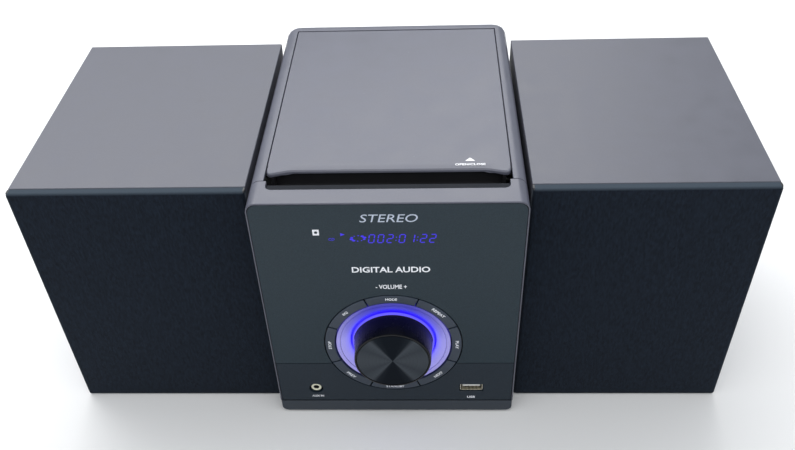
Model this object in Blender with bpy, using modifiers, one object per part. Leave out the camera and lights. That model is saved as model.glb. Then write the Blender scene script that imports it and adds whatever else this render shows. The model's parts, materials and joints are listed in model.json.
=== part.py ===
"""Mini hifi system: a CD console between two free-standing speakers. Metres, +Z up, front towards -Y.

The origin is on the floor, under the middle of the whole set's box. Parts that touch keep FIT between them.
"""

import math

import bmesh
import bpy
from mathutils import Vector

FIT = 0.0003

# Console
CONSOLE_W = 0.150
CONSOLE_H = 0.173
CONSOLE_REAR = 0.1035
ANTENNA_X, ANTENNA_Z = 0.040, 0.130
PANEL_HALF_W = 0.060
PANEL_Z = (0.016, 0.150)
FRONT = -0.0985
WALL = 0.0022
EDGE_R = 0.006
REAR_CORNER_R = 0.009
FOOT_R, FOOT_H = 0.006, 0.0015
TRAY_TOP = 0.0112
TRAY_EDGE_R = 0.004
BEZEL_DEPTH = 0.0202
SPLIT_Z = 0.0475
FASCIA_HALF_W = 0.0738
FASCIA_FRONT = FRONT + 0.0003
FASCIA_BACK = FRONT + 0.0038
FASCIA_TOP = 0.1718
FASCIA_CORNER_R = 0.005

# Dial
DIAL_Z = 0.0644
BUTTONS = 8
BUTTON_R = (0.0355, 0.0413)
BUTTON_GAP = 0.0008
DIAL_HOLE_R = 0.0420
LIGHT_R = (0.0260, 0.0347)
KNOB_BASE_R = 0.0237
KNOB_FACE_R = 0.0228
KNOB_REACH = 0.0130
KNOB_TOP_T = 0.0040
KNOB_RIM = 0.0011
SHAFT_R = 0.003

# Sockets on the front
JACK = Vector((-0.0508, 0, 0.0234))
USB = Vector((0.0482, 0, 0.0237))

# Lid and disc drive
LID_HALF_W = 0.0667
LID_FRONT = FRONT + 0.0245
LID_REAR = FRONT + 0.1914
LID_T = 0.0024
LID_GAP = 0.0008
HINGE_Y = FRONT + 0.1850
HINGE_Z = 0.1700
TRUNNION_R = 0.0015
DISC_Y = FRONT + 0.1080
DECK_TOP = 0.1702
DECK_HALF_W = 0.0684
WELL_R = 0.062
WELL_FLOOR = 0.1580
DISC_PLANE = 0.1625
CHASSIS_TOP = 0.1475
LENS_START = 0.024
RAIL_X = 0.015
RAIL_R = 0.0015
RACK_MODULE = 0.0008
SLED_TEETH = 12
DAMPER_MODULE = 0.0009
SECTOR_TEETH, PINION_TEETH = 22, 8
SECTOR_X = 0.0545
PINION_SHAFT_R = 0.0012
LATCH_Y = FRONT + 0.0345

# Finger slot between the bezel and the lid
SLOT_HALF_W = 0.0655
SLOT_FRONT = FRONT + 0.0124
SLOT_FLOOR = 0.1630
SCOOP_LOW = FRONT + 0.0180
SCOOP_BACK = FRONT + 0.0190

# Speakers
SPEAKER_W = 0.1311
SPEAKER_H = 0.1697
SPEAKER_GAP_X = 0.0775
GRILLE_FRONT = FRONT + 0.0146
GRILLE_T = 0.0047
CABINET_FRONT = FRONT + 0.0197
CABINET_REAR = FRONT + 0.1810
BOARD_T = 0.009
DRIVER_R = 0.0520
DRIVER_Z = 0.0860
GLAND_Z = 0.040
PEG_R = 0.0022
PEG_IN = 0.0055

# Local +Z points along the named direction: FACE is towards the viewer in front (-Y)
TURNS = {
    "UP": (0, 0, 0),
    "FACE": (math.radians(90), 0, 0),
    "RIGHT": (math.radians(90), 0, math.radians(90)),
}


def fresh_scene():
    for old in list(bpy.data.objects):
        bpy.data.objects.remove(old)
    homes = []
    for name in ("mini_hifi_system", "cutters"):
        home = bpy.data.collections.new(name)
        bpy.context.scene.collection.children.link(home)
        homes.append(home)
    return homes


PARTS, CUTTERS = fresh_scene()


def paint(name, colour, roughness, metallic=0.0):
    made = bpy.data.materials.new(name)
    made.use_nodes = True
    shader = made.node_tree.nodes["Principled BSDF"]
    shader.inputs["Base Color"].default_value = (*colour, 1)
    shader.inputs["Roughness"].default_value = roughness
    shader.inputs["Metallic"].default_value = metallic
    return made


GREY = paint("satin_grey", (0.17, 0.17, 0.19), 0.45)
GLOSS = paint("gloss_fascia", (0.02, 0.027, 0.03), 0.12)
PLINTH = paint("plinth_grey", (0.05, 0.055, 0.06), 0.4)
BLACK = paint("black_plastic", (0.012, 0.012, 0.014), 0.35)
RUBBER = paint("rubber", (0.02, 0.02, 0.02), 0.85)
LIGHT = paint("light_guide", (0.25, 0.22, 0.9), 0.25)
SPUN = paint("spun_metal", (0.05, 0.05, 0.055), 0.3, 1.0)
STEEL = paint("steel", (0.6, 0.6, 0.62), 0.3, 1.0)
NICKEL = paint("nickel", (0.7, 0.68, 0.62), 0.25, 1.0)
WHITE = paint("white_plastic", (0.8, 0.8, 0.76), 0.5)
BOARD = paint("circuit_board", (0.02, 0.12, 0.05), 0.5)
VINYL = paint("grey_vinyl", (0.15, 0.15, 0.165), 0.55)
CLOTH = paint("grille_cloth", (0.012, 0.015, 0.022), 0.95)
CONE = paint("paper_cone", (0.03, 0.03, 0.03), 0.8)


def place(name, mesh, look, centre=(0, 0, 0), turn="UP"):
    """A mesh as an object in the parts collection, or in the cutters where look is None."""
    made = bpy.data.objects.new(name, mesh)
    made.location = centre
    made.rotation_euler = TURNS[turn]
    if look is None:
        CUTTERS.objects.link(made)
        made.hide_render = True
        made.display_type = "WIRE"
    else:
        PARTS.objects.link(made)
        mesh.materials.append(look)
        mesh.shade_smooth()
        mesh.set_sharp_from_angle(angle=math.radians(35))
    return made


def block(name, low, high, look=None, rounds=()):
    """A box from corner to corner. Each round is (radius, segments, test on an edge's run and middle)."""
    low, high = Vector(low), Vector(high)
    centre, size = (low + high) / 2, high - low
    shape = bmesh.new()
    bmesh.ops.create_cube(shape, size=1)
    for vertex in shape.verts:
        vertex.co = Vector(a * b for a, b in zip(vertex.co, size))
    for radius, segments, wanted in rounds:
        edges = [e for e in shape.edges if wanted(*edge_facts(e, size))]
        bmesh.ops.bevel(shape, geom=edges, offset=radius, segments=segments, profile=0.5, affect="EDGES")
    mesh = bpy.data.meshes.new(name)
    shape.to_mesh(mesh)
    shape.free()
    return place(name, mesh, look, centre)


def edge_facts(edge, size):
    """An edge's direction ('X', 'Y', 'Z' or '') and its middle, in halves of the box (-1 to 1)."""
    a, b = (v.co for v in edge.verts)
    run = b - a
    middle = [2 * m / s for m, s in zip((a + b) / 2, size)]
    long = max(range(3), key=lambda k: abs(run[k]))
    straight = abs(run[long]) > 0.999 * run.length
    return "XYZ"[long] if straight else "", middle


def on_corner(direction, **sides):
    """A test for straight edges that run along direction on the given sides, such as z=1 for the top."""

    def wanted(run, middle):
        place_of = dict(zip("xyz", middle))
        return run == direction and all(abs(place_of[k] - v) < 0.01 for k, v in sides.items())

    return wanted


def drum(name, centre, radius, length, look=None, turn="UP", segments=32):
    """A cylinder whose middle is at centre and whose axis is turn's direction."""
    shape = bmesh.new()
    bmesh.ops.create_cone(
        shape, cap_ends=True, segments=segments, radius1=radius, radius2=radius, depth=length
    )
    mesh = bpy.data.meshes.new(name)
    shape.to_mesh(mesh)
    shape.free()
    return place(name, mesh, look, centre, turn)


def turned(name, profile, look, centre=(0, 0, 0), turn="UP", steps=36, closed=False):
    """A profile of (radius, height) turned about its axis. It runs down its outer side."""
    mesh = bpy.data.meshes.new(name)
    edges = [(k, k + 1) for k in range(len(profile) - 1)]
    if closed:
        edges.append((len(profile) - 1, 0))
    mesh.from_pydata([(r, 0, h) for r, h in profile], edges, [])
    made = place(name, mesh, look, centre, turn)
    screw = made.modifiers.new("turn", "SCREW")
    screw.angle = math.tau
    screw.steps = screw.render_steps = steps
    screw.use_merge_vertices = True
    screw.merge_threshold = 0.00001
    screw.use_smooth_shade = True
    return made


def plate(name, points, thickness, look=None, centre=(0, 0, 0), turn="UP"):
    """A flat outline, thickness deep about its own plane, as a mesh with its caps welded on."""
    curve = bpy.data.curves.new(name, "CURVE")
    curve.dimensions = "2D"
    curve.fill_mode = "BOTH"
    curve.extrude = thickness / 2
    spline = curve.splines.new("POLY")
    spline.points.add(len(points) - 1)
    for point, (x, y) in zip(spline.points, points):
        point.co = (x, y, 0, 1)
    spline.use_cyclic_u = True
    drawn = bpy.data.objects.new(name, curve)
    CUTTERS.objects.link(drawn)
    graph = bpy.context.evaluated_depsgraph_get()
    mesh = bpy.data.meshes.new_from_object(drawn.evaluated_get(graph))
    bpy.data.objects.remove(drawn)
    shape = bmesh.new()
    shape.from_mesh(mesh)
    bmesh.ops.remove_doubles(shape, verts=shape.verts, dist=0.000001)
    bmesh.ops.recalc_face_normals(shape, faces=shape.faces)
    shape.to_mesh(mesh)
    shape.free()
    mesh.materials.clear()
    return place(name, mesh, look, centre, turn)


def arc(radius, start, end, count, centre=(0, 0)):
    """Points along an arc, in degrees."""
    turns = [math.radians(start + (end - start) * k / (count - 1)) for k in range(count)]
    return [(centre[0] + radius * math.cos(t), centre[1] + radius * math.sin(t)) for t in turns]


def combine(made, others, operation):
    for other in others:
        step = made.modifiers.new(other.name, "BOOLEAN")
        step.operation = operation
        step.object = other
    return made


def cut(made, *cutters):
    return combine(made, cutters, "DIFFERENCE")


def join(made, *additions):
    return combine(made, additions, "UNION")


def pivot(name, position, *members):
    """An empty on a joint's axis, which the moving pieces hang on."""
    empty = bpy.data.objects.new(name, None)
    empty.empty_display_size = 0.005
    empty.location = position
    PARTS.objects.link(empty)
    for member in members:
        member.parent = empty
        member.location = Vector(member.location) - empty.location


def mirrored_x(low, high, side):
    """A box's two corners, moved to the other side of the middle where side is -1."""
    if side > 0:
        return low, high
    return (-high[0], *low[1:]), (-low[0], *high[1:])


def gear_teeth(teeth, module, chosen, start):
    """Outline points of the chosen teeth, whose centres stand at start plus whole pitches (degrees)."""
    pitch_r = teeth * module / 2
    root_r, tip_r = pitch_r - 1.25 * module, pitch_r + 0.9 * module
    pitch = 360 / teeth
    points = []
    for k in chosen:
        middle = start + k * pitch
        points += arc(root_r, middle - 0.32 * pitch, middle + 0.32 * pitch, 2)[:1]
        points += arc(tip_r, middle - 0.11 * pitch, middle + 0.11 * pitch, 2)
        points += arc(root_r, middle - 0.32 * pitch, middle + 0.32 * pitch, 2)[1:]
    return points


# ---------------------------------------------------------------- console case


def base_tray():
    """The plinth: as wide as the bezel above it, with lower side edges rounded along their length."""
    half, front = 0.0748, FRONT + 0.0002
    tray = block(
        "base_tray",
        (-half, front, FOOT_H + FIT),
        (half, CONSOLE_REAR + 0.0005, TRAY_TOP),
        PLINTH,
        [(TRAY_EDGE_R, 4, on_corner("Y", z=-1)), (0.0012, 2, on_corner("Z", y=-1))],
    )
    hollow = block(
        "tray_hollow",
        (WALL - half, front + WALL, FOOT_H + FIT + WALL),
        (half - WALL, CONSOLE_REAR + 0.0005 - WALL, TRAY_TOP + 0.01),
        rounds=[(TRAY_EDGE_R - WALL, 4, on_corner("Y", z=-1))],
    )
    cut(tray, hollow)


def feet():
    for name, x, y in (
        ("foot_front_left", -0.058, FRONT + 0.020),
        ("foot_front_right", 0.058, FRONT + 0.020),
        ("foot_rear_left", -0.058, CONSOLE_REAR - 0.018),
        ("foot_rear_right", 0.058, CONSOLE_REAR - 0.018),
    ):
        drum(name, (x, y, FOOT_H / 2), FOOT_R, FOOT_H, RUBBER, segments=20)


def housing_shell():
    half = CONSOLE_W / 2
    shell = block(
        "housing_shell",
        (-half, FRONT + BEZEL_DEPTH + FIT, TRAY_TOP + FIT),
        (half, CONSOLE_REAR, CONSOLE_H),
        GREY,
        [
            (REAR_CORNER_R, 4, on_corner("Z", y=1)),
            (EDGE_R, 4, lambda run, m: m[2] > 0.99 and not (run == "X" and m[1] < 0)),
        ],
    )
    hollow = block(
        "housing_hollow",
        (-half + WALL, FRONT, 0),
        (half - WALL, CONSOLE_REAR - WALL, CONSOLE_H - WALL),
        rounds=[
            (REAR_CORNER_R - WALL, 4, on_corner("Z", y=1)),
            (EDGE_R - WALL, 4, lambda run, m: m[2] > 0.99 and not (run == "X" and m[1] < 0)),
        ],
    )
    lid_hole = block(
        "lid_hole",
        (-LID_HALF_W - 0.0005, FRONT, CONSOLE_H - 0.01),
        (LID_HALF_W + 0.0005, LID_REAR + LID_GAP, CONSOLE_H + 0.01),
    )
    rear_hole = block(
        "rear_hole",
        (-PANEL_HALF_W, CONSOLE_REAR - 0.01, PANEL_Z[0]),
        (PANEL_HALF_W, CONSOLE_REAR + 0.01, PANEL_Z[1]),
    )
    cut(shell, hollow)
    for side, name in ((1, "right"), (-1, "left")):
        low, high = mirrored_x(
            (LID_HALF_W + 0.0007, HINGE_Y - 0.004, 0.1645), (0.0735, HINGE_Y + 0.004, 0.1715), side
        )
        join(shell, block(f"hinge_boss_{name}", low, high))
        bore = drum(
            f"hinge_bore_{name}",
            (side * 0.0675, HINGE_Y, HINGE_Z),
            TRUNNION_R + FIT,
            0.0066,
            turn="RIGHT",
            segments=20,
        )
        cut(shell, bore)
    cut(shell, lid_hole, rear_hole)


def rear_panel():
    panel = block(
        "rear_panel",
        (FIT - PANEL_HALF_W, CONSOLE_REAR - 0.0017, PANEL_Z[0] + FIT),
        (PANEL_HALF_W - FIT, CONSOLE_REAR - 0.0002, PANEL_Z[1] - FIT),
        BLACK,
    )
    cut(
        panel,
        block("inlet_hole", (0.0357, 0.09, 0.0307), (0.0543, 0.11, 0.0413)),
        block("sockets_hole", (-0.0473, 0.09, 0.0327), (-0.0167, 0.11, 0.0453)),
        drum("antenna_hole", (ANTENNA_X, CONSOLE_REAR, ANTENNA_Z), 0.0048, 0.02, turn="FACE", segments=20),
    )
    for k in range(7):
        z = 0.070 + 0.006 * k
        cut(panel, block(f"vent_{k}", (-0.030, 0.09, z), (0.030, 0.11, z + 0.0025)))


def front_bezel():
    half = CONSOLE_W / 2
    back = FRONT + BEZEL_DEPTH
    bezel = block(
        "front_bezel",
        (-half, FRONT, TRAY_TOP + 2 * FIT),
        (half, back, CONSOLE_H),
        GREY,
        [
            (EDGE_R, 4, lambda run, m: run == "Y" and m[2] > 0.99),
            (0.0007, 2, lambda run, m: m[1] < -0.99 and m[2] > -0.95),
        ],
    )
    hollow = block(
        "bezel_hollow",
        (-half + WALL, FRONT + 0.006, 0),
        (half - WALL, back + 0.01, CONSOLE_H - WALL),
        rounds=[(EDGE_R - WALL, 4, on_corner("Y", z=1))],
    )
    corner = (FASCIA_HALF_W + FIT - FASCIA_CORNER_R, FASCIA_TOP + FIT - FASCIA_CORNER_R)
    recess = plate(
        "fascia_recess",
        [(-FASCIA_HALF_W - FIT, 0), (FASCIA_HALF_W + FIT, 0)]
        + arc(FASCIA_CORNER_R, 0, 90, 6, corner)
        + arc(FASCIA_CORNER_R, 90, 180, 6, (-corner[0], corner[1])),
        0.0140,
        centre=(0, FRONT + 0.0042 - 0.0070, 0),
        turn="FACE",
    )
    trough = block("slot_trough", (-0.0676, FRONT + 0.0104, 0.1610), (0.0676, back, 0.1715))
    slot = block(
        "finger_slot",
        (-SLOT_HALF_W, SLOT_FRONT, SLOT_FLOOR),
        (SLOT_HALF_W, back + 0.02, CONSOLE_H + 0.01),
        rounds=[(0.0035, 4, on_corner("Z", y=-1))],
    )
    cut(bezel, hollow, recess)
    join(bezel, trough)
    cut(
        bezel,
        slot,
        drum("dial_opening", (0, FRONT, DIAL_Z), 0.0460, 0.03, turn="FACE", segments=48),
        block("display_opening", (-0.0454, FRONT - 0.01, 0.1386), (0.0334, FRONT + 0.01, 0.1604)),
        drum("jack_opening", (JACK.x, FRONT, JACK.z), 0.0046, 0.03, turn="FACE", segments=20),
        block(
            "usb_opening",
            (USB.x - 0.0078, FRONT - 0.01, USB.z - 0.0039),
            (USB.x + 0.0078, FRONT + 0.01, USB.z + 0.0039),
        ),
    )


def slot_liner():
    """The black scoop in the finger slot: a gentle ramp down from the bezel, a small ledge, then the drop."""
    half, front = SLOT_HALF_W - FIT, SLOT_FRONT + FIT
    liner = block(
        "slot_liner",
        (-half, front, SLOT_FLOOR + FIT),
        (half, SCOOP_BACK, CONSOLE_H - FIT),
        BLACK,
        [(0.0032, 4, on_corner("Z", y=-1))],
    )
    ramp = [
        (front - 0.0010, 0.1726),
        (SCOOP_LOW, 0.1714),
        (SCOOP_LOW + 0.0002, 0.1708),
        (SCOOP_BACK + 0.0010, 0.1708),
        (SCOOP_BACK + 0.0010, 0.1750),
        (front - 0.0010, 0.1750),
    ]
    cut(liner, plate("scoop_ramp", ramp, 4 * half, turn="RIGHT"))


def fascia():
    thickness = FASCIA_BACK - FASCIA_FRONT
    middle = (0, (FASCIA_FRONT + FASCIA_BACK) / 2, 0)
    corner = (FASCIA_HALF_W - FASCIA_CORNER_R, FASCIA_TOP - FASCIA_CORNER_R)
    window = plate(
        "fascia_window",
        [(-FASCIA_HALF_W, SPLIT_Z + FIT), (FASCIA_HALF_W, SPLIT_Z + FIT)]
        + arc(FASCIA_CORNER_R, 0, 90, 6, corner)
        + arc(FASCIA_CORNER_R, 90, 180, 6, (-corner[0], corner[1])),
        thickness,
        GLOSS,
        middle,
        "FACE",
    )
    lower = block(
        "fascia_lower",
        (-FASCIA_HALF_W, FASCIA_FRONT, TRAY_TOP + 0.0008),
        (FASCIA_HALF_W, FASCIA_BACK, SPLIT_Z - FIT),
        GLOSS,
    )
    dial = drum("dial_hole", (0, FRONT, DIAL_Z), DIAL_HOLE_R, 0.03, turn="FACE", segments=64)
    cut(window, dial)
    cut(
        lower,
        dial,
        drum("jack_hole", (JACK.x, FRONT, JACK.z), 0.0044, 0.03, turn="FACE", segments=24),
        block(
            "usb_hole",
            (USB.x - 0.0075, FRONT - 0.01, USB.z - 0.0036),
            (USB.x + 0.0075, FRONT + 0.01, USB.z + 0.0036),
        ),
    )


# ---------------------------------------------------------------- dial


def ring_buttons():
    """Eight arc keys; number 1 is at the top, and they run clockwise as seen from the front."""
    inner, outer = BUTTON_R
    pitch = 360 / BUTTONS
    thickness = 0.0046
    centre = Vector((0, FRONT + 0.0024, DIAL_Z))
    for k in range(BUTTONS):
        middle = 90 - k * pitch
        outer_half = pitch / 2 - math.degrees(BUTTON_GAP / 2 / outer)
        inner_half = pitch / 2 - math.degrees(BUTTON_GAP / 2 / inner)
        outline = arc(outer, middle - outer_half, middle + outer_half, 9)
        outline += arc(inner, middle + inner_half, middle - inner_half, 9)
        key = plate(f"ring_button_{k + 1}", outline, thickness, BLACK, centre, "FACE")
        pivot(f"ring_button_{k + 1}_slide", centre, key)


def dial_fixed():
    """The ring that carries the keys, and the dished light guide in it. Heights run to the front."""
    centre = (0, FRONT, DIAL_Z)
    turned(
        "dial_carrier",
        [(0.0225, -0.0063), (0.0490, -0.0063), (0.0490, -0.0083), (0.0225, -0.0083)],
        BLACK,
        centre,
        "FACE",
        40,
        closed=True,
    )
    inner, outer = LIGHT_R
    turned(
        "light_ring",
        [(inner, -0.0038), (outer - 0.0028, -0.0009), (outer, -0.0007), (outer, -0.0060), (inner, -0.0060)],
        LIGHT,
        centre,
        "FACE",
        48,
        closed=True,
    )


def volume_control():
    centre = Vector((0, FRONT, DIAL_Z))
    base, face, reach = KNOB_BASE_R, KNOB_FACE_R, KNOB_REACH
    boss = SHAFT_R + FIT + 0.0016
    knob = turned(
        "volume_knob",
        [
            (0, reach - 0.0012),
            (face - KNOB_RIM, reach - 0.0012),
            (face - KNOB_RIM, reach),
            (face - 0.0004, reach),
            (face, reach - 0.0005),
            (base, -0.0030),
            (base - 0.0030, -0.0030),
            (face - 0.0032, reach - KNOB_TOP_T),
            (boss, reach - KNOB_TOP_T),
            (boss, -0.0010),
            (SHAFT_R + FIT, -0.0010),
            (SHAFT_R + FIT, reach - KNOB_TOP_T),
            (0, reach - KNOB_TOP_T),
        ],
        BLACK,
        centre,
        "FACE",
        48,
    )
    cap = drum(
        "knob_cap", centre - Vector((0, reach - 0.0005, 0)), face - KNOB_RIM - FIT, 0.0008, SPUN, "FACE", 48
    )
    shaft = drum("encoder_shaft", centre + Vector((0, 0.0037, 0)), SHAFT_R, 0.0200, STEEL, "FACE", 20)
    pivot("volume_turn", centre, knob, cap, shaft)
    encoder = block(
        "volume_encoder",
        (-0.0060, FRONT + 0.0095, DIAL_Z - 0.0060),
        (0.0060, FRONT + 0.0150, DIAL_Z + 0.0060),
        NICKEL,
    )
    cut(encoder, drum("encoder_bore", centre + Vector((0, 0.0080, 0)), SHAFT_R + FIT, 0.0124, turn="FACE"))


def front_electronics():
    block("display_module", (-0.045, FRONT + 0.0041, 0.1390), (0.033, FRONT + 0.0149, 0.1600), BLACK)
    block("front_board", (-0.065, FRONT + 0.0153, 0.0180), (0.065, FRONT + 0.0169, 0.1570), BOARD)
    jack = block(
        "jack_socket",
        (JACK.x - 0.0060, FRONT + 0.0064, JACK.z - 0.0050),
        (JACK.x + 0.0060, FRONT + 0.0150, JACK.z + 0.0050),
        BLACK,
    )
    join(
        jack, drum("jack_barrel", (JACK.x, FRONT + 0.0056, JACK.z), 0.0034, 0.0078, turn="FACE", segments=24)
    )
    cut(jack, drum("jack_bore", (JACK.x, FRONT + 0.0060, JACK.z), 0.0018, 0.0150, turn="FACE", segments=20))
    usb = block(
        "usb_socket",
        (USB.x - 0.0070, FRONT + 0.0015, USB.z - 0.0032),
        (USB.x + 0.0070, FRONT + 0.0150, USB.z + 0.0032),
        STEEL,
    )
    cut(
        usb,
        block(
            "usb_mouth",
            (USB.x - 0.0064, FRONT - 0.01, USB.z - 0.0026),
            (USB.x + 0.0064, FRONT + 0.0135, USB.z + 0.0026),
        ),
    )
    join(
        usb,
        block(
            "usb_tongue",
            (USB.x - 0.0055, FRONT + 0.0025, USB.z),
            (USB.x + 0.0055, FRONT + 0.0140, USB.z + 0.0018),
        ),
    )


# ---------------------------------------------------------------- disc drive


def disc_deck():
    """The moulding under the lid: plate, round well, front trough and rear hinge trench."""
    half, top = DECK_HALF_W, DECK_TOP
    deck = block("disc_deck", (-half, FRONT + 0.0320, top - 0.0020), (half, FRONT + 0.1745, top), BLACK)
    cup = drum("well_cup", (0, DISC_Y, (WELL_FLOOR - 0.0024 + top - 0.0005) / 2), WELL_R + 0.002, 0.0141)
    join(
        deck,
        cup,
        block("deck_trough", (-0.0640, FRONT + 0.0215, 0.1605), (0.0640, FRONT + 0.0330, top)),
        block("trench_wall", (-half, FRONT + 0.1725, 0.1535), (half, FRONT + 0.1745, top - 0.0005)),
        block("trench_floor", (-half, FRONT + 0.1730, 0.1535), (half, FRONT + 0.1970, 0.1555)),
    )
    cut(
        deck,
        drum("well", (0, DISC_Y, WELL_FLOOR + 0.010), WELL_R, 0.020, segments=48),
        drum("spindle_hole", (0, DISC_Y, WELL_FLOOR), 0.0170, 0.02, segments=28),
        block("lens_slot", (-0.0050, DISC_Y - 0.0612, 0.15), (0.0050, DISC_Y - 0.0160, 0.165)),
        block("trough_hollow", (-0.0625, FRONT, SLOT_FLOOR), (0.0625, FRONT + 0.0310, 0.18)),
        block("trough_ends", (-0.07, FRONT + 0.0200, 0.1640), (0.07, FRONT + 0.0262, 0.18)),
        block("latch_hole", (-0.0070, LATCH_Y - 0.0009, 0.1675), (0.0070, LATCH_Y + 0.0060, 0.18)),
        block("damper_slot", (0.0465, FRONT + 0.1755, 0.15), (0.0676, FRONT + 0.1980, 0.16)),
        block("sector_relief", (0.0520, FRONT + 0.1735, 0.1580), (0.0570, FRONT + 0.1760, 0.1720)),
    )


def disc_mechanism():
    chassis = block(
        "mech_chassis",
        (-0.036, DISC_Y - 0.0720, CHASSIS_TOP - 0.0025),
        (0.036, DISC_Y + 0.0250, CHASSIS_TOP),
        STEEL,
    )
    gear_y = DISC_Y - 0.0400
    gear_x = 0.0213 + RACK_MODULE * SLED_TEETH / 2 + 0.0001
    for side in (1, -1):
        for y in (DISC_Y - 0.0580, DISC_Y + 0.0180):
            name = f"post_{'right' if side > 0 else 'left'}_{'rear' if y > DISC_Y else 'front'}"
            post_x = side * 0.0325
            middle_z = (CHASSIS_TOP - 0.001 + 0.1552) / 2
            join(chassis, drum(name, (post_x, y, middle_z), 0.002, 0.0087, segments=16))
    cut(
        chassis,
        block("sled_window", (-0.0200, DISC_Y - 0.0670, 0.14), (0.0200, DISC_Y - 0.0140, 0.15)),
        drum("stem_hole", (0, DISC_Y, CHASSIS_TOP), 0.0045, 0.02, segments=20),
        drum("gear_shaft_hole", (gear_x, gear_y, CHASSIS_TOP), 0.0016, 0.02, segments=16),
    )
    for side, name in ((1, "right"), (-1, "left")):
        spot = (side * RAIL_X, DISC_Y - 0.0405, CHASSIS_TOP + FIT + RAIL_R)
        drum(f"guide_rod_{name}", spot, RAIL_R, 0.0600, STEEL, "FACE", 16)

    turntable = turned(
        "turntable",
        [
            (0, 0.1655),
            (0.0062, 0.1655),
            (0.0073, 0.1643),
            (0.0073, DISC_PLANE),
            (0.0150, DISC_PLANE),
            (0.0150, DISC_PLANE - 0.0015),
            (0.0060, DISC_PLANE - 0.0015),
            (0.0060, 0.1520),
            (0.0030, 0.1500),
            (0.0030, 0.1448),
            (0, 0.1448),
        ],
        BLACK,
        (0, DISC_Y, 0),
        steps=32,
    )
    pivot("turntable_spin", (0, DISC_Y, 0), turntable)
    drum("spindle_motor", (0, DISC_Y, 0.1383), 0.0120, 0.0120, STEEL, segments=28)
    drum("sled_motor", (gear_x, gear_y, 0.1383), 0.0085, 0.0120, STEEL, segments=24)
    pickup_sled(gear_x, gear_y)


def pickup_sled(gear_x, gear_y):
    start_y = DISC_Y - LENS_START
    rail_z = CHASSIS_TOP + FIT + RAIL_R
    sled = block(
        "pickup_sled",
        (-0.0185, start_y - 0.0080, CHASSIS_TOP - 0.0010),
        (0.0185, start_y + 0.0080, 0.1532),
        BLACK,
    )
    lens = drum("lens_holder", (0, start_y, 0.1555), 0.0035, 0.0068, segments=20)
    tooth = math.pi * RACK_MODULE
    outline = [(0, -0.0020), (-0.0022, -0.0020), (-0.0022, 0.0362), (0, 0.0362)]
    for k in range(14, -1, -1):
        middle = k * tooth
        outline += [
            (0, middle + 0.30 * tooth),
            (1.9 * RACK_MODULE, middle + 0.11 * tooth),
            (1.9 * RACK_MODULE, middle - 0.11 * tooth),
            (0, middle - 0.30 * tooth),
        ]
    rack_z = CHASSIS_TOP + 0.0018
    rack = plate("sled_rack", outline, 0.0022, centre=(0.0203, gear_y, rack_z))
    join(sled, lens, rack)
    for side, name in ((1, "right"), (-1, "left")):
        cut(
            sled,
            drum(
                f"rod_bore_{name}",
                (side * RAIL_X, start_y, rail_z),
                RAIL_R + FIT,
                0.04,
                turn="FACE",
                segments=16,
            ),
        )
    pivot("sled_slide", (0, start_y, rail_z), sled)
    teeth = gear_teeth(SLED_TEETH, RACK_MODULE, range(SLED_TEETH), 15)
    gear = plate("sled_gear", teeth, 0.0022, STEEL, (gear_x, gear_y, rack_z))
    join(gear, drum("gear_shaft", (gear_x, gear_y, 0.1467), 0.0012, 0.0040, segments=16))
    pivot("sled_gear_turn", (gear_x, gear_y, rack_z), gear)


def lid():
    top = CONSOLE_H
    bottom = top - LID_T
    cover = block(
        "cd_lid",
        (-LID_HALF_W, LID_FRONT, bottom),
        (LID_HALF_W, LID_REAR, top),
        GREY,
        [
            (0.003, 3, on_corner("Z", y=-1)),
            (0.0014, 2, lambda run, m: m[2] > 0.99 and m[1] < -0.9 and run != "Y"),
            (0.0004, 1, lambda run, m: m[2] > 0.99 and m[1] > 0.99),
        ],
    )
    cage = turned(
        "clamp_cage",
        [
            (0.0138, 0.1712),
            (0.0155, 0.1712),
            (0.0155, 0.1650),
            (0.0102, 0.1650),
            (0.0102, 0.1662),
            (0.0138, 0.1662),
        ],
        None,
        (0, DISC_Y, 0),
        steps=32,
        closed=True,
    )
    tab = block("latch_tab", (-0.0040, LATCH_Y, 0.1640), (0.0040, LATCH_Y + 0.0017, 0.1715))
    join(cover, cage, tab)
    for side, name in ((1, "right"), (-1, "left")):
        low, high = mirrored_x(
            (0.0620, HINGE_Y - 0.003, 0.1682), (LID_HALF_W - 0.0001, HINGE_Y + 0.003, 0.1712), side
        )
        trunnion = drum(
            f"trunnion_{name}",
            (side * 0.0667, HINGE_Y, HINGE_Z),
            TRUNNION_R,
            0.0070,
            turn="RIGHT",
            segments=16,
        )
        join(cover, block(f"hinge_ear_{name}", low, high), trunnion)
    root_r = DAMPER_MODULE * (SECTOR_TEETH / 2 - 1.25)
    outline = [(0.0052, 0.0014), (-0.0052, 0.0014), (-0.0052, -0.0030)] + arc(root_r, -114, -113, 2)[:1]
    outline += gear_teeth(SECTOR_TEETH, DAMPER_MODULE, range(-1, 6), -90)
    outline += [(root_r, -0.0008), (0.0060, 0.0004)]
    join(cover, plate("sector", outline, 0.0030, centre=(SECTOR_X, HINGE_Y, HINGE_Z), turn="RIGHT"))

    clamp = turned(
        "disc_clamp",
        [
            (0, 0.1690),
            (0.0130, 0.1690),
            (0.0130, 0.1668),
            (0.0095, 0.1668),
            (0.0095, 0.1645),
            (0.0078, 0.1645),
            (0.0078, 0.1662),
            (0, 0.1662),
        ],
        WHITE,
        (0, DISC_Y, 0),
        steps=28,
    )
    pivot("lid_hinge", (0, HINGE_Y, HINGE_Z), cover)
    pivot("clamp_spin", (0, DISC_Y, 0), clamp)


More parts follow.
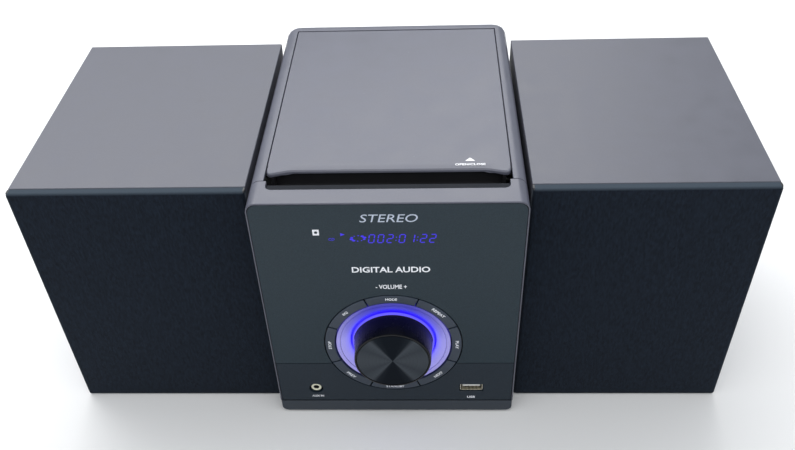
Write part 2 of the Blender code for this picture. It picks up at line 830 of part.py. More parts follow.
def lid_fittings():
    spread = DAMPER_MODULE * (SECTOR_TEETH + PINION_TEETH) / 2 + 0.0001
    centre = Vector((SECTOR_X, HINGE_Y, HINGE_Z - spread))
    teeth = gear_teeth(PINION_TEETH, DAMPER_MODULE, range(PINION_TEETH), 90 - 180 / PINION_TEETH)
    pinion = plate("damper_pinion", teeth, 0.0040, WHITE, centre, "RIGHT")
    shaft_centre = centre + Vector((0.0040, 0, 0))
    join(pinion, drum("pinion_shaft", shaft_centre, PINION_SHAFT_R, 0.0060, turn="RIGHT", segments=16))
    pivot("damper_turn", centre, pinion)
    damper = drum("lid_damper", centre + Vector((0.0078, 0, 0)), 0.0060, 0.0075, BLACK, "RIGHT", 24)
    bore_centre = centre + Vector((0.0045, 0, 0))
    cut(
        damper,
        drum("damper_bore", bore_centre, PINION_SHAFT_R + FIT, 0.0060, turn="RIGHT", segments=16),
    )
    low, high = (-0.0100, LATCH_Y - 0.0012, 0.1560), (0.0100, LATCH_Y + 0.0087, 0.1679)
    latch = block("lid_latch", low, high, BLACK)
    cut(latch, block("latch_pocket", (-0.0050, LATCH_Y - 0.0007, 0.1600), (0.0050, LATCH_Y + 0.0031, 0.18)))


# ---------------------------------------------------------------- power, amplifier and rear sockets


def power_and_amplifier():
    board = block("main_board", (-0.062, FRONT + 0.0600, 0.0180), (0.062, FRONT + 0.1900, 0.0196), BOARD)
    for k, (x, y) in enumerate(((-0.040, 0.085), (-0.022, 0.085), (-0.040, 0.110))):
        join(board, drum(f"capacitor_{k}", (x, FRONT + y, 0.0295), 0.0065, 0.0210, segments=16))
    fin, gap, count = 0.0016, 0.0044, 8
    outline = [(0, 0)]
    for k in range(count):
        x = k * (fin + gap)
        outline += [(x, 0.004), (x, 0.022), (x + fin, 0.022), (x + fin, 0.004)]
    outline.append((count * (fin + gap) - gap, 0))
    plate("heat_sink", outline, 0.0420, STEEL, (-0.050, FRONT + 0.1630, 0.0412))
    core = block("transformer", (0.012, FRONT + 0.1000, 0.0200), (0.056, FRONT + 0.1360, 0.0560), STEEL)
    join(
        core,
        block(
            "coil",
            (0.018, FRONT + 0.0940, 0.0260),
            (0.050, FRONT + 0.1420, 0.0500),
            rounds=[(0.003, 2, on_corner("X"))],
        ),
    )


def rear_sockets():
    face = CONSOLE_REAR + 0.0001
    inlet = block("ac_inlet", (0.0360, 0.0880, 0.0310), (0.0540, face + 0.0010, 0.0410), BLACK)
    join(inlet, block("inlet_flange", (0.0330, face, 0.0280), (0.0570, face + 0.0020, 0.0440)))
    cut(inlet, block("inlet_mouth", (0.0375, 0.0920, 0.0325), (0.0525, 0.12, 0.0395)))
    for name, x in (("inlet_pin_left", 0.0407), ("inlet_pin_right", 0.0493)):
        join(inlet, drum(name, (x, 0.0965, 0.0360), 0.0012, 0.0110, turn="FACE", segments=12))
    sockets = block("speaker_sockets", (-0.0470, 0.0900, 0.0330), (-0.0170, face + 0.0010, 0.0450), BLACK)
    join(sockets, block("sockets_flange", (-0.0500, face, 0.0300), (-0.0140, face + 0.0014, 0.0480)))
    for name, x in (("socket_left", -0.0405), ("socket_right", -0.0235)):
        join(sockets, drum(f"{name}_barrel", (x, 0.10695, 0.0390), 0.0042, 0.0091, turn="FACE", segments=24))
        cut(sockets, drum(f"{name}_bore", (x, 0.1070, 0.0390), 0.0016, 0.0200, turn="FACE", segments=16))
    turned(
        "antenna_socket",
        [
            (0.0015, 0.0040),
            (0.0045, 0.0040),
            (0.0045, -0.0004),
            (0.0060, -0.0004),
            (0.0060, -0.0018),
            (0.0038, -0.0018),
            (0.0038, -0.0060),
            (0.0015, -0.0060),
        ],
        NICKEL,
        (ANTENNA_X, CONSOLE_REAR, ANTENNA_Z),
        "FACE",
        24,
        closed=True,
    )


# ---------------------------------------------------------------- speakers


def speaker(side, word):
    middle_x = side * (SPEAKER_GAP_X + SPEAKER_W / 2)
    half = SPEAKER_W / 2
    low, high = (middle_x - half, middle_x + half)
    cabinet = block(
        f"cabinet_{word}", (low, CABINET_FRONT, 0), (high, CABINET_REAR, SPEAKER_H), VINYL
    )
    cut(
        cabinet,
        block(
            f"cabinet_hollow_{word}",
            (low + BOARD_T, CABINET_FRONT + BOARD_T, BOARD_T),
            (high - BOARD_T, CABINET_REAR - BOARD_T, SPEAKER_H - BOARD_T),
        ),
        drum(
            f"driver_hole_{word}",
            (middle_x, CABINET_FRONT, DRIVER_Z),
            0.0470,
            0.04,
            turn="FACE",
            segments=40,
        ),
        drum(f"gland_hole_{word}", (middle_x, CABINET_REAR, GLAND_Z), 0.0043, 0.04, turn="FACE", segments=16),
    )
    grille = block(
        f"grille_{word}",
        (low, GRILLE_FRONT, 0.0005),
        (high, GRILLE_FRONT + GRILLE_T, SPEAKER_H - 0.0002),
        CLOTH,
        [(0.0018, 2, lambda run, m: m[1] < -0.99)],
    )
    cut(
        grille,
        block(
            f"grille_hollow_{word}",
            (low + 0.010, GRILLE_FRONT + 0.0015, 0.0105),
            (high - 0.010, GRILLE_FRONT + 0.02, SPEAKER_H - 0.0102),
        ),
    )
    for across in (-1, 1):
        for z in (PEG_IN, SPEAKER_H - PEG_IN):
            name = f"{'a' if across < 0 else 'b'}{'low' if z < 0.1 else 'high'}_{word}"
            spot = (middle_x + across * (half - PEG_IN), CABINET_FRONT, z)
            peg = Vector(spot) + Vector((0, 0.0008, 0))
            join(grille, drum(f"peg_{name}", peg, PEG_R, 0.0064, turn="FACE", segments=12))
            cut(cabinet, drum(f"peg_hole_{name}", spot, PEG_R + 0.0004, 0.0100, turn="FACE", segments=12))
    face = (middle_x, CABINET_FRONT, DRIVER_Z)
    basket = turned(
        f"driver_basket_{word}",
        [
            (0, -0.0300),
            (0.0200, -0.0300),
            (0.0280, -0.0270),
            (0.0440, -0.0085),
            (0.0440, 0.0027),
            (DRIVER_R, 0.0027),
            (DRIVER_R, 0.0003),
            (0.0462, 0.0003),
            (0.0462, -0.0100),
            (0.0300, -0.0300),
            (0.0300, -0.0480),
            (0, -0.0480),
        ],
        STEEL,
        face,
        "FACE",
        36,
    )
    cone = turned(
        f"driver_cone_{word}",
        [
            (0, -0.0140),
            (0.0060, -0.0150),
            (0.0115, -0.0180),
            (0.0340, -0.0030),
            (0.0380, -0.0008),
            (0.0425, -0.0030),
            (0.0425, -0.0045),
            (0.0380, -0.0025),
            (0.0345, -0.0046),
            (0.0120, -0.0200),
            (0.0120, -0.0245),
            (0, -0.0245),
        ],
        CONE,
        face,
        "FACE",
        32,
    )
    gland = turned(
        f"cord_gland_{word}",
        [
            (0.0012, 0.0040),
            (0.0040, 0.0040),
            (0.0040, -0.0003),
            (0.0065, -0.0003),
            (0.0065, -0.0018),
            (0.0035, -0.0035),
            (0.0012, -0.0035),
        ],
        RUBBER,
        (middle_x, CABINET_REAR, GLAND_Z),
        "FACE",
        20,
        closed=True,
    )
    pivot(f"speaker_{word}_slide", (middle_x, 0, 0), cabinet, basket, gland)
    pivot(f"grille_{word}_slide", (middle_x, GRILLE_FRONT, SPEAKER_H / 2), grille)
    pivot(f"cone_{word}_slide", face, cone)


def main():
    base_tray()
    feet()
    housing_shell()
    rear_panel()
    front_bezel()
    slot_liner()
    fascia()
    ring_buttons()
    dial_fixed()
    volume_control()
    front_electronics()
    disc_deck()
    disc_mechanism()
    lid()
    lid_fittings()
    power_and_amplifier()
    rear_sockets()
    for side, word in ((-1, "left"), (1, "right")):
        speaker(side, word)


main()
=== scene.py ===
import json
import math

import bmesh
import bpy
from mathutils import Euler, Matrix, Vector


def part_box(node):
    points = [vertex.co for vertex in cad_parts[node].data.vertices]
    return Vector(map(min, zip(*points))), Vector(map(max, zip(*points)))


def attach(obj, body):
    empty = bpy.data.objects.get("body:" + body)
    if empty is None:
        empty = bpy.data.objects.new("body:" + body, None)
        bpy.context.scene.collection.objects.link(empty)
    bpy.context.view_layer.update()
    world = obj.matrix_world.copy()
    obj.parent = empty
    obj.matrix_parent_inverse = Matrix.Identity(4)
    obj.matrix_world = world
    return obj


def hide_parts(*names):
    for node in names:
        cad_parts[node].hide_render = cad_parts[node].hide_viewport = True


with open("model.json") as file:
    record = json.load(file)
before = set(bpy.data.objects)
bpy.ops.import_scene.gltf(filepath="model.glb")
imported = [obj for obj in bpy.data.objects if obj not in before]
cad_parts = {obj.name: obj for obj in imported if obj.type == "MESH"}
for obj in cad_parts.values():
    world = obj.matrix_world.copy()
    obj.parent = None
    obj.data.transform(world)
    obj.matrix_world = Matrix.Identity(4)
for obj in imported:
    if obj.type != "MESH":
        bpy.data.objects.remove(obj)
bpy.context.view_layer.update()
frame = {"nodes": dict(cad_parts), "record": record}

NODES = frame["nodes"]
BODY_OF = {
    node: body for body, members in frame["record"]["behaviour"]["bodies"].items() for node in members
}
SPEAKERS = ("left", "right")
MM = 0.001
FACE = Euler((math.radians(90), 0, 0))  # local +Z towards the front, local +Y up
TOP = Euler((0, 0, 0))
SMOOTH_BELOW = math.radians(38)

FASCIA_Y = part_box("fascia_window")[0].y
LID_LOW, LID_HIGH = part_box("cd_lid")
RING_LOW, RING_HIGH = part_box("light_ring")
DIAL = Vector((0, FASCIA_Y - 0.3 * MM, (RING_LOW.z + RING_HIGH.z) / 2))
JACK_LOW, JACK_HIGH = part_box("jack_socket")
USB_LOW, USB_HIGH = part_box("usb_socket")


# ---------------------------------------------------------------- materials


class Look:
    """A material under construction: its Principled shader, and short ways to add and join nodes."""

    def __init__(self, name, colour, roughness, **sockets):
        self.material = bpy.data.materials.new(name)
        self.material.use_nodes = True
        self.tree = self.material.node_tree
        self.shader = self.tree.nodes["Principled BSDF"]
        self.colour = colour
        self.set(self.shader, Base_Color=(*colour, 1), Roughness=roughness, **sockets)
        self.where = self.node("TexCoord").outputs["Object"]
        self.normal = None

    def put(self, socket, value):
        if isinstance(value, bpy.types.NodeSocket):
            self.tree.links.new(value, socket)
        else:
            socket.default_value = value

    def set(self, node, **values):
        for key, value in values.items():
            self.put(node.inputs[key.replace("_", " ")], value)
        return node

    def node(self, kind, settings=None, **values):
        made = self.tree.nodes.new("ShaderNode" + kind)
        for key, value in (settings or {}).items():
            setattr(made, key, value)
        return self.set(made, **values)

    def calc(self, operation, *values):
        """A Math node's result; values are numbers or sockets."""
        made = self.node("Math", {"operation": operation})
        for socket, value in zip(made.inputs, values):
            self.put(socket, value)
        return made.outputs[0]

    def vector(self, operation, *values):
        made = self.node("VectorMath", {"operation": operation})
        for socket, value in zip(made.inputs, values):
            self.put(socket, value)
        return made.outputs["Value" if operation == "LENGTH" else "Vector"]

    def stretched(self, x, y, z):
        return self.vector("MULTIPLY", self.where, (x, y, z))

    def noise(self, size, detail=3.0, vector=None):
        """Noise with features about size metres across."""
        made = self.node("TexNoise", Vector=vector or self.where, Scale=1 / size, Detail=detail)
        return made.outputs["Fac"]

    def cells(self, size, feature="F1"):
        made = self.node("TexVoronoi", {"feature": feature}, Vector=self.where, Scale=1 / size)
        return made.outputs["Distance"]

    def ramp(self, value, *stops):
        made = self.node("ValToRGB", Fac=value)
        elements = made.color_ramp.elements
        while len(elements) < len(stops):
            elements.new(0.5)
        for element, (position, colour) in zip(elements, stops):
            element.position, element.color = position, (*colour, 1)
        return made.outputs["Color"]

    def span(self, value, low, high, start=0.0, end=1.0):
        """Maps value from start..end to low..high, and keeps it in there."""
        made = self.node("MapRange", Value=value, To_Min=low, To_Max=high)
        return self.set(made, From_Min=start, From_Max=end).outputs["Result"]

    def mix(self, share, first, second):
        """The first colour passing into the second as share goes from 0 to 1."""
        made = self.node("MixRGB", Fac=share)
        self.put(made.inputs[1], first if isinstance(first, bpy.types.NodeSocket) else (*first, 1))
        self.put(made.inputs[2], second if isinstance(second, bpy.types.NodeSocket) else (*second, 1))
        return made.outputs[0]

    def times(self, first, second):
        """The product of two colours."""
        made = self.node("MixRGB", {"blend_type": "MULTIPLY"}, Fac=1.0)
        self.put(made.inputs[1], first)
        self.put(made.inputs[2], second)
        return made.outputs[0]

    def now(self, name):
        """What feeds a socket of the shader so far, for another layer to go over it."""
        return self.shader.inputs[name].links[0].from_socket

    def radius(self, centre, across=(1, 0, 1)):
        """Distance from an axis through centre; across has 0 for the direction that the axis runs in."""
        off = self.vector("SUBTRACT", self.where, centre)
        return self.vector("LENGTH", self.vector("MULTIPLY", off, across))

    def axis(self, letter):
        return self.node("SeparateXYZ", Vector=self.where).outputs[letter]

    def bump(self, height, distance, strength=1.0):
        made = self.node("Bump", Height=height, Distance=distance, Strength=strength)
        if self.normal is not None:
            self.set(made, Normal=self.normal)
        self.normal = made.outputs["Normal"]
        self.set(self.shader, Normal=self.normal)

    def mottled(self, value, spread):
        """The base colour made lighter and darker by the share spread, following value."""
        dark = tuple(c * (1 - spread) for c in self.colour)
        light = tuple(c * (1 + spread) for c in self.colour)
        return self.ramp(value, (0.3, dark), (0.7, light))


def moulded(name, colour, roughness, grain=0.4 * MM, depth=0.006 * MM, spread=0.10, **sockets):
    """Moulded or painted plastic: a fine grain, faint mottling and slightly uneven gloss."""
    look = Look(name, colour, roughness, **sockets)
    broad, fine = look.noise(14 * MM, 4), look.noise(grain, 2)
    both = look.calc("ADD", look.calc("MULTIPLY", broad, 0.45), look.calc("MULTIPLY", fine, 0.55))
    look.set(
        look.shader,
        Base_Color=look.mottled(both, spread),
        Roughness=look.span(broad, roughness - 0.05, roughness + 0.05, 0.3, 0.7),
    )
    look.bump(fine, depth)
    return look


def satin_paint():
    """Satin grey paint: fine flake, a breath of orange peel and specks of dust on level faces."""
    look = moulded("paint_satin_grey", (0.086, 0.090, 0.120), 0.36, 0.28 * MM, 0.004 * MM, 0.16)
    look.bump(look.noise(2.5 * MM, 1), 0.006 * MM)
    speck = look.calc("LESS_THAN", look.cells(9 * MM), 0.016)
    facing = look.node("SeparateXYZ", Vector=look.node("NewGeometry").outputs["Normal"]).outputs["Z"]
    level = look.calc("GREATER_THAN", facing, 0.9)
    dust = look.calc("MULTIPLY", look.calc("MULTIPLY", speck, level), 0.5)
    look.set(look.shader, Base_Color=look.mix(dust, look.now("Base Color"), (0.5, 0.5, 0.5)))
    return look


def vinyl():
    """Grey vinyl foil on the cabinets, with a small leather-like grain."""
    look = moulded("vinyl_grey", (0.088, 0.091, 0.115), 0.44, 0.35 * MM, 0.004 * MM, 0.16)
    look.bump(look.cells(1.1 * MM, "SMOOTH_F1"), 0.03 * MM, 0.6)
    return look


def gloss(name, colour, roughness=0.10, level=0.24):
    """Clear tinted panel with a hard gloss over a near-black back, and faint handling haze."""
    look = Look(name, colour, roughness, Specular_IOR_Level=level)
    haze, fine = look.noise(22 * MM, 5), look.noise(0.5 * MM, 2)
    look.set(
        look.shader,
        Base_Color=look.mottled(fine, 0.18),
        Roughness=look.span(haze, roughness - 0.03, roughness + 0.07, 0.3, 0.7),
    )
    look.bump(fine, 0.001 * MM)
    return look


GUIDE_R = (25.9 * MM, 34.8 * MM)


def light_guide():
    """Milky acrylic ring lit from behind: lavender on its dish, deep blue where it drops to the knob.

    The stops run from its inner to its outer edge. It is dimmer and bluer in its upper part.
    """
    look = Look("light_guide_lit", (0.42, 0.40, 0.46), 0.22)
    radius = look.radius((0, 0, 0), (1, 1, 0))
    share = look.span(radius, 0, 1, *GUIDE_R)
    glow = look.ramp(
        share,
        (0.00, (0.010, 0.002, 0.95)),
        (0.05, (0.030, 0.015, 0.95)),
        (0.16, (0.06, 0.05, 0.66)),
        (0.40, (0.09, 0.08, 0.52)),
        (0.66, (0.08, 0.07, 0.46)),
        (0.70, (0.015, 0.01, 0.20)),
        (0.76, (0.045, 0.035, 0.38)),
        (0.94, (0.04, 0.03, 0.36)),
        (1.00, (0.01, 0.005, 0.16)),
    )
    grain = look.noise(0.6 * MM, 2)
    upward = look.span(look.calc("DIVIDE", look.axis("Y"), radius), 0, 1, -1, 1)

    def shaded(colour, top):
        return look.times(colour, look.ramp(upward, (0.55, (1, 1, 1)), (0.97, top)))

    look.set(
        look.shader,
        Emission_Color=shaded(glow, (0.30, 0.30, 0.72)),
        Emission_Strength=1.0,
        Base_Color=shaded(look.mottled(grain, 0.06), (0.2, 0.2, 0.55)),
    )
    look.bump(look.noise(1.4 * MM, 1), 0.01 * MM)
    return look


TUBE_LIP_R = 24.8 * MM


def lit_blue():
    """The clear inner tube around the knob, full of blue light, with a paler rounded lip."""
    look = Look("glow_blue", (0.02, 0.01, 0.30), 0.3)
    share = look.noise(3 * MM, 2)
    glow = look.ramp(share, (0.3, (0.008, 0.0, 0.85)), (0.7, (0.02, 0.002, 1.0)))
    lip = look.calc("LESS_THAN", look.radius((0, 0, 0), (1, 1, 0)), TUBE_LIP_R)
    look.set(look.shader, Emission_Color=look.mix(lip, glow, (0.14, 0.12, 0.72)), Emission_Strength=1.0)
    return look


def display_blue():
    """Lit segments of the display, a little uneven."""
    look = Look("display_segments", (0.01, 0.005, 0.12), 0.3)
    cells = look.noise(0.8 * MM, 1)
    glow = look.ramp(cells, (0.25, (0.022, 0.008, 0.62)), (0.75, (0.035, 0.012, 0.86)))
    look.set(look.shader, Emission_Color=glow, Emission_Strength=0.95)
    return look


def ink(name, colour, roughness=0.5):
    """Screen-printed ink: a slightly thin, uneven coat."""
    look = Look(name, colour, roughness)
    coat = look.noise(0.35 * MM, 3)
    look.set(look.shader, Base_Color=look.mottled(coat, 0.14))
    look.bump(coat, 0.004 * MM)
    return look


def spun_face():
    """Dark anodised cap with fine spun rings; pale wedges at its sides, darker above and below, are painted
    reflection in its base colour.
    """
    look = Look("spun_cap", (0.060, 0.070, 0.082), 0.30, Metallic=1.0, Anisotropic=0.85)
    radius = look.radius((0, 0, 0), (1, 1, 0))
    rings = look.calc("SINE", look.calc("MULTIPLY", radius, math.tau / (0.22 * MM)))
    spokes = look.node("CombineXYZ", X=radius).outputs[0]
    uneven = look.node("TexNoise", Vector=spokes, Scale=1 / (0.5 * MM)).outputs["Fac"]
    tangent = look.node("Tangent", {"direction_type": "RADIAL", "axis": "Z"}).outputs[0]
    # painted reflection: the base colour is pale to the left and right of the middle and dark above and
    # below it
    aside = look.calc("ABSOLUTE", look.axis("X"))
    sideways = look.calc("DIVIDE", aside, look.calc("ADD", radius, 0.1 * MM))
    painted_reflection_wedges = look.ramp(
        sideways,
        (0.28, (0.10, 0.13, 0.17)),
        (0.50, (0.20, 0.23, 0.27)),
        (0.62, (1.05, 1.05, 1.05)),
        (0.86, (0.72, 0.74, 0.76)),
        (1.00, (0.98, 0.98, 0.98)),
    )
    look.set(look.shader, Tangent=tangent, Base_Color=look.times(look.mottled(uneven, 0.15), painted_reflection_wedges))
    look.bump(rings, 0.0015 * MM, 0.5)
    return look


def metal(name, colour, roughness, along=(1, 1, 1)):
    """Metal with fine drawn or brushed lines; along is small in the direction that the lines run in."""
    look = Look(name, colour, roughness, Metallic=1.0)
    lines = look.noise(0.5 * MM, 3, look.stretched(*along))
    look.set(
        look.shader,
        Base_Color=look.mottled(look.noise(6 * MM, 3), 0.12),
        Roughness=look.span(lines, roughness - 0.08, roughness + 0.10, 0.3, 0.7),
    )
    look.bump(lines, 0.004 * MM)
    return look


WEAVE_PITCH = 0.62 * MM


def cloth():
    """Open cloth on the grilles: a fine weave of uneven yarns, with painted light that makes it paler where
    it faces up.
    """
    look = Look("knit_cloth", (0.0062, 0.0105, 0.0185), 0.95, Sheen_Weight=0.12, Sheen_Roughness=0.4)
    look.set(look.shader, Sheen_Tint=(0.75, 0.85, 1.0, 1), Specular_IOR_Level=0.15)
    wander = look.calc("MULTIPLY", look.calc("SUBTRACT", look.noise(9 * MM, 2), 0.5), 0.5 * MM)
    parts = look.node("SeparateXYZ", Vector=look.where).outputs
    across = look.calc("ADD", look.calc("ADD", parts["X"], parts["Y"]), wander)
    along = look.calc("ADD", parts["Z"], wander)
    turn = math.tau / WEAVE_PITCH
    weft = look.calc("SINE", look.calc("MULTIPLY", across, turn))
    warp = look.calc("SINE", look.calc("MULTIPLY", along, turn))
    weave = look.span(look.calc("MULTIPLY", weft, warp), 0, 1, -1, 1)
    yarn = look.noise(0.9 * MM, 3, look.stretched(1, 1, 0.25))
    slub = look.noise(1.5 * MM, 2, look.stretched(1, 1, 0.5))
    both = look.calc("ADD", look.calc("MULTIPLY", weave, 0.45), look.calc("MULTIPLY", yarn, 0.30))
    both = look.calc("ADD", both, look.calc("MULTIPLY", slub, 0.25))
    # painted light: the cloth's colour turns paler on upward faces, standing in for the overhead light on
    # its top strip
    facing = look.node("SeparateXYZ", Vector=look.node("TexCoord").outputs["Normal"]).outputs["Z"]
    painted_top_light = look.span(facing, 0.0, 0.9, 0.25, 0.9)
    yarns = look.mottled(look.span(both, 0, 1, 0.35, 0.65), 0.75)
    look.set(look.shader, Base_Color=look.mix(painted_top_light, yarns, (0.045, 0.060, 0.078)))
    look.bump(both, 0.12 * MM, 0.7)
    return look


SURROUND_R = 34.2 * MM
DUST_CAP_R = 11.8 * MM


def paper_cone(middle):
    """Driver cone: ribbed pulp with a smoother dust cap, and a rubber surround at its rim."""
    look = Look(f"cone_{'left' if middle.x < 0 else 'right'}", (0.03, 0.03, 0.032), 0.8)
    radius = look.radius(middle)
    pulp = look.noise(1.2 * MM, 4)
    ribs = look.calc("SINE", look.calc("MULTIPLY", radius, math.tau / (3.2 * MM)))
    rubber = look.calc("GREATER_THAN", radius, SURROUND_R)
    cap = look.calc("LESS_THAN", radius, DUST_CAP_R)
    smooth = look.calc("ADD", rubber, cap)
    colour = look.mix(rubber, look.mottled(pulp, 0.3), (0.012, 0.012, 0.013))
    look.set(
        look.shader,
        Base_Color=look.mix(cap, colour, (0.016, 0.016, 0.017)),
        Roughness=look.calc("SUBTRACT", 0.8, look.calc("MULTIPLY", smooth, 0.4)),
    )
    look.bump(look.calc("MULTIPLY", ribs, look.calc("SUBTRACT", 1.0, smooth)), 0.12 * MM)
    look.bump(pulp, 0.03 * MM)
    return look


def circuit_board(name):
    """Green solder mask with copper runs under it and rows of bright solder joints."""
    look = Look(name, (0.010, 0.085, 0.040), 0.38)
    runs = look.calc("LESS_THAN", look.cells(7 * MM, "DISTANCE_TO_EDGE"), 0.10)
    joints = look.calc("LESS_THAN", look.cells(3.4 * MM), 0.20)
    mask = look.mottled(look.noise(10 * MM), 0.15)
    masked = look.mix(look.calc("MULTIPLY", runs, 0.7), mask, (0.04, 0.17, 0.06))
    look.set(
        look.shader,
        Base_Color=look.mix(joints, masked, (0.62, 0.62, 0.60)),
        Metallic=joints,
        Roughness=look.span(joints, 0.42, 0.25),
    )
    look.bump(look.calc("ADD", runs, look.calc("MULTIPLY", joints, 3.0)), 0.03 * MM)
    return look


CORE_HALF_DEPTH = 18.2 * MM


def transformer_look():
    """Stack of varnished steel sheets, with the winding's yellow tape at its front and rear."""
    look = Look("transformer_wound", (0.16, 0.15, 0.14), 0.45)
    low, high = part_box("transformer")
    middle = (low + high) / 2
    off = look.calc("ABSOLUTE", look.calc("SUBTRACT", look.axis("Y"), middle.y))
    winding = look.calc("GREATER_THAN", off, CORE_HALF_DEPTH)
    sheets = look.calc("SINE", look.calc("MULTIPLY", look.axis("X"), math.tau / (1.0 * MM)))
    wraps = look.noise(4 * MM, 3, look.stretched(0.3, 1, 1))
    tape = look.ramp(wraps, (0.3, (0.42, 0.25, 0.03)), (0.7, (0.60, 0.38, 0.05)))
    look.set(look.shader, Base_Color=look.mix(winding, look.mottled(look.noise(1 * MM), 0.2), tape))
    look.bump(sheets, 0.06 * MM)
    return look


SLEEVES_FROM = 2.4 * MM
SLEEVE_TOP_T = 0.4 * MM


def main_board_look():
    """The amplifier board: solder mask below, dark sleeved capacitors with bright tops above."""
    look = circuit_board("board_amplifier")
    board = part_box("main_board")
    above = look.calc("GREATER_THAN", look.axis("Z"), board[0].z + SLEEVES_FROM)
    tops = look.calc("GREATER_THAN", look.axis("Z"), board[1].z - SLEEVE_TOP_T)
    sleeve = look.mix(tops, (0.012, 0.014, 0.05), (0.60, 0.60, 0.62))
    look.set(look.shader, Base_Color=look.mix(above, look.now("Base Color"), sleeve))
    bare = look.calc("MULTIPLY", look.now("Metallic"), look.calc("SUBTRACT", 1.0, above))
    look.set(look.shader, Metallic=look.calc("ADD", bare, tops))
    return look


BARREL_LENGTH = 4.6 * MM
BARREL_R = 4.4 * MM
BARRELS = ((9.5 * MM, (0.75, 0.75, 0.72)), (26.5 * MM, (0.55, 0.02, 0.015)))


def socket_plate_look():
    """Black socket plate whose two barrels are colour-coded, white and red."""
    look = moulded("sockets_coded", (0.014, 0.014, 0.016), 0.4)
    low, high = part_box("speaker_sockets")
    proud = look.calc("GREATER_THAN", look.axis("Y"), high.y - BARREL_LENGTH)
    middle_z = (low.z + high.z) / 2
    colour = look.now("Base Color")
    for x, paint in BARRELS:
        radius = look.radius((low.x + x, 0, middle_z))
        ring = look.calc("MULTIPLY", proud, look.calc("LESS_THAN", radius, BARREL_R))
        colour = look.mix(ring, colour, paint)
    look.set(look.shader, Base_Color=colour)
    return look


PIN_X = 4.3 * MM
PIN_R = 1.3 * MM


def inlet_look():
    """Black mains inlet with two bright pins."""
    look = moulded("inlet_black", (0.012, 0.012, 0.013), 0.45)
    low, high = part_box("ac_inlet")
    middle = (low + high) / 2
    colour = look.now("Base Color")
    pins = 0.0
    for x in (-PIN_X, PIN_X):
        radius = look.radius((middle.x + x, 0, middle.z))
        pins = look.calc("ADD", pins, look.calc("LESS_THAN", radius, PIN_R))
    look.set(look.shader, Base_Color=look.mix(pins, colour, (0.62, 0.60, 0.55)), Metallic=pins)
    return look


LENS_R = 2.3 * MM


def sled_look():
    """Black pickup sled with a clear blue-tinted lens in its holder."""
    look = moulded("sled_black", (0.016, 0.016, 0.018), 0.4)
    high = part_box("pickup_sled")[1]
    rim_y = [v.co.y for v in NODES["pickup_sled"].data.vertices if v.co.z > high.z - 0.01 * MM]
    centre = (0, (min(rim_y) + max(rim_y)) / 2, 0)
    colour = look.now("Base Color")
    top = look.calc("GREATER_THAN", look.axis("Z"), high.z - 0.2 * MM)
    inside = look.calc("LESS_THAN", look.radius(centre, (1, 1, 0)), LENS_R)
    lens = look.calc("MULTIPLY", top, inside)
    look.set(
        look.shader,
        Base_Color=look.mix(lens, colour, (0.03, 0.06, 0.22)),
        Roughness=look.span(lens, 0.4, 0.03),
    )
    return look


LOOKS = {
    "satin_grey": satin_paint(),
    "gloss_fascia": gloss("fascia_gloss", (0.0150, 0.0290, 0.0400)),
    "gloss_lower": gloss("fascia_lower_gloss", (0.0130, 0.0220, 0.0330), 0.14, 0.20),
    "plinth_grey": moulded("plinth", (0.026, 0.036, 0.050), 0.38, 0.5 * MM, Specular_IOR_Level=0.35),
    "black_plastic": moulded("plastic_black", (0.012, 0.012, 0.014), 0.40),
    "scoop_black": moulded("scoop_black", (0.007, 0.009, 0.014), 0.55, Specular_IOR_Level=0.12),
    "key_black": moulded("key_satin", (0.021, 0.034, 0.056), 0.34, 0.3 * MM, 0.003 * MM),
    "knob_black": moulded(
        "knob_satin", (0.0015, 0.002, 0.004), 0.26, 0.3 * MM, 0.003 * MM, Specular_IOR_Level=0.3
    ),
    "rubber": moulded("rubber_black", (0.018, 0.018, 0.018), 0.85, 0.6 * MM, 0.02 * MM),
    "light_guide": light_guide(),
    "glow": lit_blue(),
    "display": display_blue(),
    "ink_white": ink("ink_white", (0.88, 0.90, 0.95)),
    "ink_grey": ink("ink_grey", (0.50, 0.56, 0.68)),
    "ink_lid": ink("ink_lid", (0.92, 0.92, 0.95)),
    "spun_metal": spun_face(),
    "steel": metal("steel_sheet", (0.55, 0.56, 0.58), 0.34, (1, 0.05, 1)),
    "dark_steel": metal("steel_black", (0.06, 0.06, 0.065), 0.42),
    "aluminium": metal("aluminium_extruded", (0.72, 0.73, 0.75), 0.38, (1, 1, 0.05)),
    "nickel": metal("nickel_plate", (0.78, 0.74, 0.62), 0.24),
    "jack_ring": ink("jack_ring_ivory", (0.85, 0.84, 0.66), 0.35),
    "white_plastic": moulded("plastic_white", (0.72, 0.72, 0.69), 0.45),
    "circuit_board": circuit_board("board_front"),
    "grey_vinyl": vinyl(),
    "grille_cloth": cloth(),
}


# ---------------------------------------------------------------- making pieces


def piece(name, shape, look, body, replaces=(), centre=(0, 0, 0), turn=TOP):
    """A finished bmesh as a piece that rides on a CAD body and stands for the nodes in replaces."""
    bmesh.ops.recalc_face_normals(shape, faces=shape.faces)
    mesh = bpy.data.meshes.new(name)
    shape.to_mesh(mesh)
    shape.free()
    mesh.materials.append(LOOKS[look].material)
    mesh.shade_smooth()
    mesh.set_sharp_from_angle(angle=SMOOTH_BELOW)
    made = bpy.data.objects.new(name, mesh)
    bpy.context.scene.collection.objects.link(made)
    made.location = centre
    made.rotation_euler = turn
    weighted = made.modifiers.new("normals", "WEIGHTED_NORMAL")
    weighted.keep_sharp = True
    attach(made, body)
    if replaces:
        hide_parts(*replaces)
    return made


def solid_of(node):
    """A CAD node's solid as a bmesh, with its triangles merged into whole flat faces."""
    shape = bmesh.new()
    shape.from_mesh(NODES[node].data)
    bmesh.ops.remove_doubles(shape, verts=shape.verts, dist=0.004 * MM)
    bmesh.ops.dissolve_limit(shape, angle_limit=math.radians(0.6), verts=shape.verts, edges=shape.edges)
    return shape


